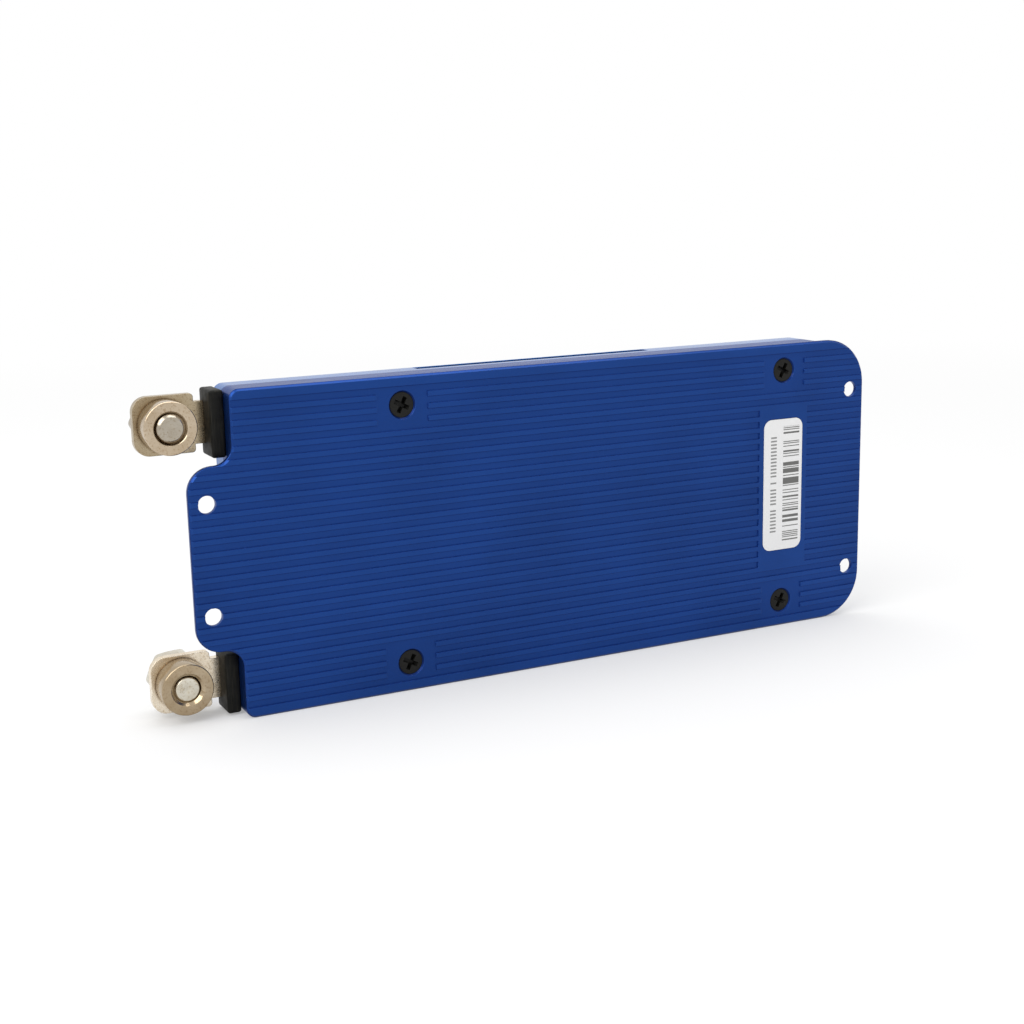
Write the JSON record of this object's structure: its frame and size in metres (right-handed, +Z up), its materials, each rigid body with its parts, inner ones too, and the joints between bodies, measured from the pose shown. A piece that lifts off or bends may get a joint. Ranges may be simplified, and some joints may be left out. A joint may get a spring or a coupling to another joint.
{
  "type": "battery management board",
  "caption": "Slim battery management board in a blue aluminium case with a ribbed back plate, a smooth front cover, bolted end terminals in rubber grommets and a socket window.",
  "frame": {"origin": "middle of the whole part's footprint, on the long edge that it stands on", "axes": "+Z up from that edge, +X along the case away from the terminals, -Y out of the ribbed back"},
  "size_m": [0.1664, 0.015, 0.065],
  "materials": {
    "back_plate": "satin blue anodised",
    "front_cover": "satin blue anodised",
    "black_steel": "black oxide",
    "label": "satin film",
    "plated_copper": "satin nickel plating",
    "plated_steel": "satin nickel plating",
    "grommet_rubber": "satin",
    "board_laminate": "green solder mask",
    "chip_plastic": "matte",
    "tinned_metal": "tinned",
    "thermal_pad": "soft matte",
    "bare_copper": "bare copper",
    "shunt_metal": "matte",
    "coil_ferrite": "matte",
    "resistor_ceramic": "matte",
    "capacitor_ceramic": "satin",
    "socket_plastic": "matte"
  },
  "bodies": {
    "root": {"back_plate": "back_plate", "front_cover": "front_cover", "label": "label", "case_screw_left_lower": "black_steel", "case_screw_left_upper": "black_steel", "case_screw_right_lower": "black_steel", "case_screw_right_upper": "black_steel", "upper_terminal_lug": "plated_copper", "upper_terminal_nut": "plated_steel", "upper_terminal_bolt": "plated_steel", "upper_grommet": "grommet_rubber", "lower_terminal_lug": "plated_copper", "lower_terminal_nut": "plated_steel", "lower_terminal_bolt": "plated_steel", "lower_grommet": "grommet_rubber", "circuit_board": "board_laminate", "thermal_pad": "thermal_pad", "upper_transistors": "chip_plastic", "upper_transistor_leads": "tinned_metal", "upper_lug_bar": "bare_copper", "upper_row_bar": "bare_copper", "lower_transistors": "chip_plastic", "lower_transistor_leads": "tinned_metal", "lower_lug_bar": "bare_copper", "lower_row_bar": "bare_copper", "current_shunt_1": "shunt_metal", "current_shunt_2": "shunt_metal", "current_shunt_3": "shunt_metal", "current_shunt_4": "shunt_metal", "current_shunt_5": "shunt_metal", "control_chip": "chip_plastic", "monitor_chip": "chip_plastic", "power_coil": "coil_ferrite", "balance_resistors": "resistor_ceramic", "ceramic_capacitors": "capacitor_ceramic", "cell_sense_socket": "socket_plastic", "data_socket": "socket_plastic", "probe_socket": "socket_plastic", "socket_pins": "tinned_metal"}
  },
  "joints": []
}
